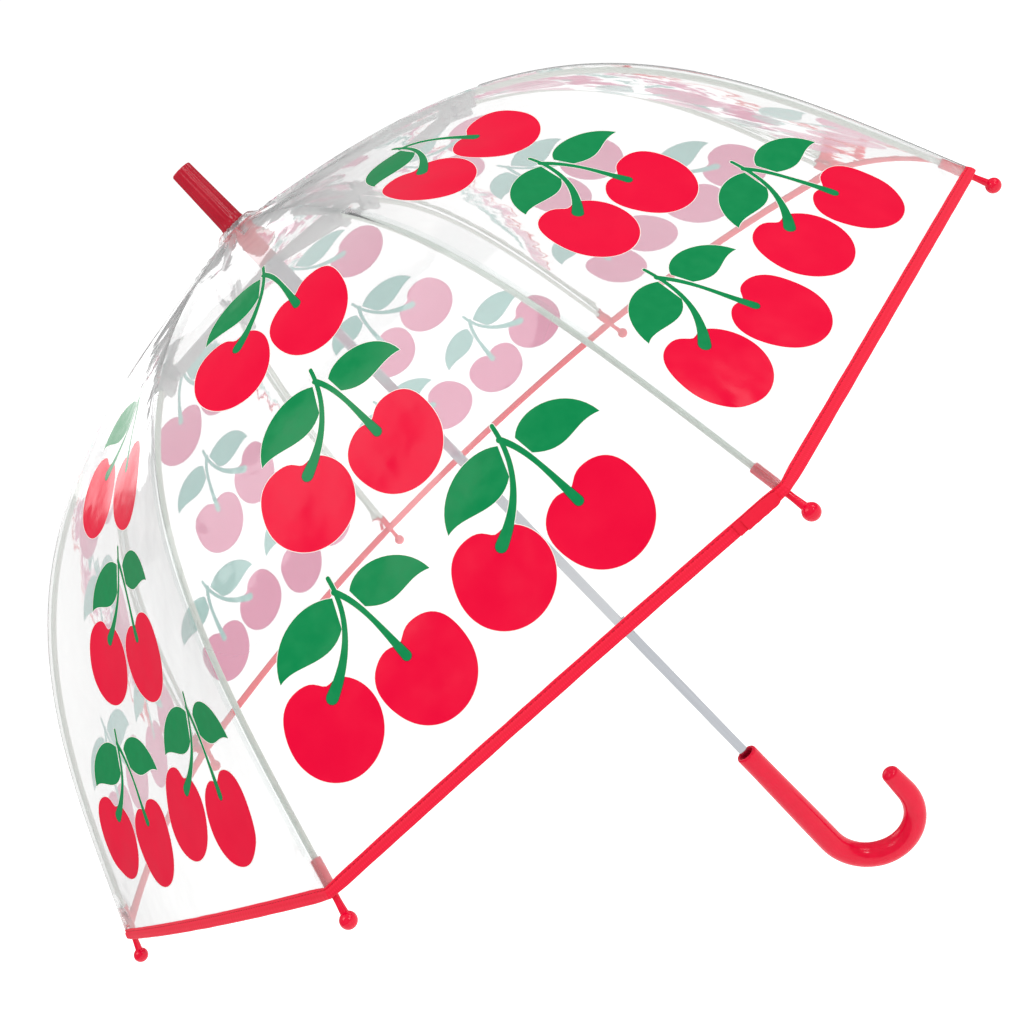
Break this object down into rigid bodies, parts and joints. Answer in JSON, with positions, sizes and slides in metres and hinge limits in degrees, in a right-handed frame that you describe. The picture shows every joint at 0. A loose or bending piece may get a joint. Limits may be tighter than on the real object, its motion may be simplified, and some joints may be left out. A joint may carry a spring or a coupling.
{
  "type": "clear dome umbrella",
  "caption": "Clear dome umbrella with printed film panels on flexing ribs, a sliding runner with stretchers, a fluted ferrule and a hooked handle.",
  "frame": {"origin": "on the shaft's axis at the middle of the handle's straight grip", "axes": "+Z along the shaft from the handle to the ferrule; +X along rib 1, and the handle's hook leaves 12 degrees from +X towards +Y"},
  "size_m": [0.7442, 0.7442, 0.6945],
  "materials": {
    "chromed_shaft": "bright chrome plate on a drawn steel tube",
    "red_handle": "glossy injection-moulded red plastic",
    "ferrule_plastic": "moulded deep red plastic with fine flutes",
    "crown_plastic": "moulded red plastic",
    "clear_film": "clear flexible film, printed with red and green motifs",
    "steel_wire": "drawn steel wire",
    "spring_steel": "pressed spring steel",
    "runner_plastic": "moulded grey plastic",
    "plated_channel": "zinc-plated pressed steel channel",
    "glass_fibre_rod": "grey-green glass fibre rod",
    "red_tips": "glossy moulded red plastic"
  },
  "bodies": {
    "shaft": {"shaft": "chromed_shaft", "handle": "red_handle", "ferrule": "ferrule_plastic", "film_collar": "clear_film", "crown": "crown_plastic", "crown_wire": "steel_wire"},
    "runner": {"runner": "runner_plastic", "runner_wire": "steel_wire"},
    "rib_1_upper": {"rib_1_upper": "plated_channel", "film_1_upper": "clear_film"},
    "rib_1_lower": {"rib_1_lower": "glass_fibre_rod", "tip_1": "red_tips", "film_1_lower": "clear_film"},
    "stretcher_1": {"stretcher_1": "plated_channel"},
    "rib_2_upper": {"rib_2_upper": "plated_channel", "film_2_upper": "clear_film"},
    "rib_2_lower": {"rib_2_lower": "glass_fibre_rod", "tip_2": "red_tips", "film_2_lower": "clear_film"},
    "stretcher_2": {"stretcher_2": "plated_channel"},
    "rib_3_upper": {"rib_3_upper": "plated_channel", "film_3_upper": "clear_film"},
    "rib_3_lower": {"rib_3_lower": "glass_fibre_rod", "tip_3": "red_tips", "film_3_lower": "clear_film"},
    "stretcher_3": {"stretcher_3": "plated_channel"},
    "rib_4_upper": {"rib_4_upper": "plated_channel", "film_4_upper": "clear_film"},
    "rib_4_lower": {"rib_4_lower": "glass_fibre_rod", "tip_4": "red_tips", "film_4_lower": "clear_film"},
    "stretcher_4": {"stretcher_4": "plated_channel"},
    "rib_5_upper": {"rib_5_upper": "plated_channel", "film_5_upper": "clear_film"},
    "rib_5_lower": {"rib_5_lower": "glass_fibre_rod", "tip_5": "red_tips", "film_5_lower": "clear_film"},
    "stretcher_5": {"stretcher_5": "plated_channel"},
    "rib_6_upper": {"rib_6_upper": "plated_channel", "film_6_upper": "clear_film"},
    "rib_6_lower": {"rib_6_lower": "glass_fibre_rod", "tip_6": "red_tips", "film_6_lower": "clear_film"},
    "stretcher_6": {"stretcher_6": "plated_channel"},
    "rib_7_upper": {"rib_7_upper": "plated_channel", "film_7_upper": "clear_film"},
    "rib_7_lower": {"rib_7_lower": "glass_fibre_rod", "tip_7": "red_tips", "film_7_lower": "clear_film"},
    "stretcher_7": {"stretcher_7": "plated_channel"},
    "rib_8_upper": {"rib_8_upper": "plated_channel", "film_8_upper": "clear_film"},
    "rib_8_lower": {"rib_8_lower": "glass_fibre_rod", "tip_8": "red_tips", "film_8_lower": "clear_film"},
    "stretcher_8": {"stretcher_8": "plated_channel"},
    "top_catch": {"top_catch": "spring_steel"},
    "bottom_catch": {"bottom_catch": "spring_steel"}
  },
  "joints": [
    {"name": "runner_slide", "type": "slide", "parent": "shaft", "child": "runner", "axis": [0, 0, -1], "range_m": [0, 0.2889], "deforming": ["film_1_upper", "film_1_lower", "film_2_upper", "film_2_lower", "film_3_upper", "film_3_lower", "film_4_upper", "film_4_lower", "film_5_upper", "film_5_lower", "film_6_upper", "film_6_lower", "film_7_upper", "film_7_lower", "film_8_upper", "film_8_lower"]},
    {"name": "rib_1_hinge", "type": "hinge", "parent": "shaft", "child": "rib_1_upper", "pos_m": [0.0095, 0, 0.55], "axis": [0, 1, 0], "range_deg": [-1, 74.76]},
    {"name": "rib_1_flex", "type": "hinge", "parent": "rib_1_upper", "child": "rib_1_lower", "pos_m": [0.18005, 0, 0.50896], "axis": [0, -1, 0], "range_deg": [-1, 35.67]},
    {"name": "stretcher_1_hinge", "type": "hinge", "parent": "runner", "child": "stretcher_1", "pos_m": [0.009, 0.003, 0.523], "axis": [0, -1, 0], "range_deg": [-1, 93.37]},
    {"name": "rib_2_hinge", "type": "hinge", "parent": "shaft", "child": "rib_2_upper", "pos_m": [0.00672, 0.00672, 0.55], "axis": [-0.7071, 0.7071, 0], "range_deg": [-1, 74.76]},
    {"name": "rib_2_flex", "type": "hinge", "parent": "rib_2_upper", "child": "rib_2_lower", "pos_m": [0.12731, 0.12731, 0.50896], "axis": [0.7071, -0.7071, 0], "range_deg": [-1, 35.67]},
    {"name": "stretcher_2_hinge", "type": "hinge", "parent": "runner", "child": "stretcher_2", "pos_m": [0.00424, 0.00848, 0.523], "axis": [0.7071, -0.7071, 0], "range_deg": [-1, 93.37]},
    {"name": "rib_3_hinge", "type": "hinge", "parent": "shaft", "child": "rib_3_upper", "pos_m": [0, 0.0095, 0.55], "axis": [-1, 0, 0], "range_deg": [-1, 74.76]},
    {"name": "rib_3_flex", "type": "hinge", "parent": "rib_3_upper", "child": "rib_3_lower", "pos_m": [0, 0.18005, 0.50896], "axis": [1, 0, 0], "range_deg": [-1, 35.67]},
    {"name": "stretcher_3_hinge", "type": "hinge", "parent": "runner", "child": "stretcher_3", "pos_m": [-0.003, 0.009, 0.523], "axis": [1, 0, 0], "range_deg": [-1, 93.37]},
    {"name": "rib_4_hinge", "type": "hinge", "parent": "shaft", "child": "rib_4_upper", "pos_m": [-0.00672, 0.00672, 0.55], "axis": [-0.7071, -0.7071, 0], "range_deg": [-1, 74.76]},
    {"name": "rib_4_flex", "type": "hinge", "parent": "rib_4_upper", "child": "rib_4_lower", "pos_m": [-0.12731, 0.12731, 0.50896], "axis": [0.7071, 0.7071, 0], "range_deg": [-1, 35.67]},
    {"name": "stretcher_4_hinge", "type": "hinge", "parent": "runner", "child": "stretcher_4", "pos_m": [-0.00848, 0.00424, 0.523], "axis": [0.7071, 0.7071, 0], "range_deg": [-1, 93.37]},
    {"name": "rib_5_hinge", "type": "hinge", "parent": "shaft", "child": "rib_5_upper", "pos_m": [-0.0095, 0, 0.55], "axis": [0, -1, 0], "range_deg": [-1, 74.76]},
    {"name": "rib_5_flex", "type": "hinge", "parent": "rib_5_upper", "child": "rib_5_lower", "pos_m": [-0.18005, 0, 0.50896], "axis": [0, 1, 0], "range_deg": [-1, 35.67]},
    {"name": "stretcher_5_hinge", "type": "hinge", "parent": "runner", "child": "stretcher_5", "pos_m": [-0.009, -0.003, 0.523], "axis": [0, 1, 0], "range_deg": [-1, 93.37]},
    {"name": "rib_6_hinge", "type": "hinge", "parent": "shaft", "child": "rib_6_upper", "pos_m": [-0.00672, -0.00672, 0.55], "axis": [0.7071, -0.7071, 0], "range_deg": [-1, 74.76]},
    {"name": "rib_6_flex", "type": "hinge", "parent": "rib_6_upper", "child": "rib_6_lower", "pos_m": [-0.12731, -0.12731, 0.50896], "axis": [-0.7071, 0.7071, 0], "range_deg": [-1, 35.67]},
    {"name": "stretcher_6_hinge", "type": "hinge", "parent": "runner", "child": "stretcher_6", "pos_m": [-0.00424, -0.00848, 0.523], "axis": [-0.7071, 0.7071, 0], "range_deg": [-1, 93.37]},
    {"name": "rib_7_hinge", "type": "hinge", "parent": "shaft", "child": "rib_7_upper", "pos_m": [0, -0.0095, 0.55], "axis": [1, 0, 0], "range_deg": [-1, 74.76]},
    {"name": "rib_7_flex", "type": "hinge", "parent": "rib_7_upper", "child": "rib_7_lower", "pos_m": [0, -0.18005, 0.50896], "axis": [-1, 0, 0], "range_deg": [-1, 35.67]},
    {"name": "stretcher_7_hinge", "type": "hinge", "parent": "runner", "child": "stretcher_7", "pos_m": [0.003, -0.009, 0.523], "axis": [-1, 0, 0], "range_deg": [-1, 93.37]},
    {"name": "rib_8_hinge", "type": "hinge", "parent": "shaft", "child": "rib_8_upper", "pos_m": [0.00672, -0.00672, 0.55], "axis": [0.7071, 0.7071, 0], "range_deg": [-1, 74.76]},
    {"name": "rib_8_flex", "type": "hinge", "parent": "rib_8_upper", "child": "rib_8_lower", "pos_m": [0.12731, -0.12731, 0.50896], "axis": [-0.7071, -0.7071, 0], "range_deg": [-1, 35.67]},
    {"name": "stretcher_8_hinge", "type": "hinge", "parent": "runner", "child": "stretcher_8", "pos_m": [0.00848, -0.00424, 0.523], "axis": [-0.7071, -0.7071, 0], "range_deg": [-1, 93.37]},
    {"name": "top_catch_press", "type": "slide", "parent": "shaft", "child": "top_catch", "axis": [-0.9239, -0.3827, 0], "range_m": [0, 0.0018], "stiffness_N_per_m": 400, "springref_m": -0.001},
    {"name": "bottom_catch_press", "type": "slide", "parent": "shaft", "child": "bottom_catch", "axis": [-0.9239, -0.3827, 0], "range_m": [0, 0.0018], "stiffness_N_per_m": 400, "springref_m": -0.001}
  ],
  "couplings": [
    {"joint": "rib_1_hinge", "follows": "runner_slide", "rad_per_m": 4.4561},
    {"joint": "rib_1_flex", "follows": "runner_slide", "rad_per_m": 2.0944},
    {"joint": "stretcher_1_hinge", "follows": "runner_slide", "rad_per_m": 5.5802},
    {"joint": "rib_2_hinge", "follows": "runner_slide", "rad_per_m": 4.4561},
    {"joint": "rib_2_flex", "follows": "runner_slide", "rad_per_m": 2.0944},
    {"joint": "stretcher_2_hinge", "follows": "runner_slide", "rad_per_m": 5.5802},
    {"joint": "rib_3_hinge", "follows": "runner_slide", "rad_per_m": 4.4561},
    {"joint": "rib_3_flex", "follows": "runner_slide", "rad_per_m": 2.0944},
    {"joint": "stretcher_3_hinge", "follows": "runner_slide", "rad_per_m": 5.5802},
    {"joint": "rib_4_hinge", "follows": "runner_slide", "rad_per_m": 4.4561},
    {"joint": "rib_4_flex", "follows": "runner_slide", "rad_per_m": 2.0944},
    {"joint": "stretcher_4_hinge", "follows": "runner_slide", "rad_per_m": 5.5802},
    {"joint": "rib_5_hinge", "follows": "runner_slide", "rad_per_m": 4.4561},
    {"joint": "rib_5_flex", "follows": "runner_slide", "rad_per_m": 2.0944},
    {"joint": "stretcher_5_hinge", "follows": "runner_slide", "rad_per_m": 5.5802},
    {"joint": "rib_6_hinge", "follows": "runner_slide", "rad_per_m": 4.4561},
    {"joint": "rib_6_flex", "follows": "runner_slide", "rad_per_m": 2.0944},
    {"joint": "stretcher_6_hinge", "follows": "runner_slide", "rad_per_m": 5.5802},
    {"joint": "rib_7_hinge", "follows": "runner_slide", "rad_per_m": 4.4561},
    {"joint": "rib_7_flex", "follows": "runner_slide", "rad_per_m": 2.0944},
    {"joint": "stretcher_7_hinge", "follows": "runner_slide", "rad_per_m": 5.5802},
    {"joint": "rib_8_hinge", "follows": "runner_slide", "rad_per_m": 4.4561},
    {"joint": "rib_8_flex", "follows": "runner_slide", "rad_per_m": 2.0944},
    {"joint": "stretcher_8_hinge", "follows": "runner_slide", "rad_per_m": 5.5802}
  ]
}
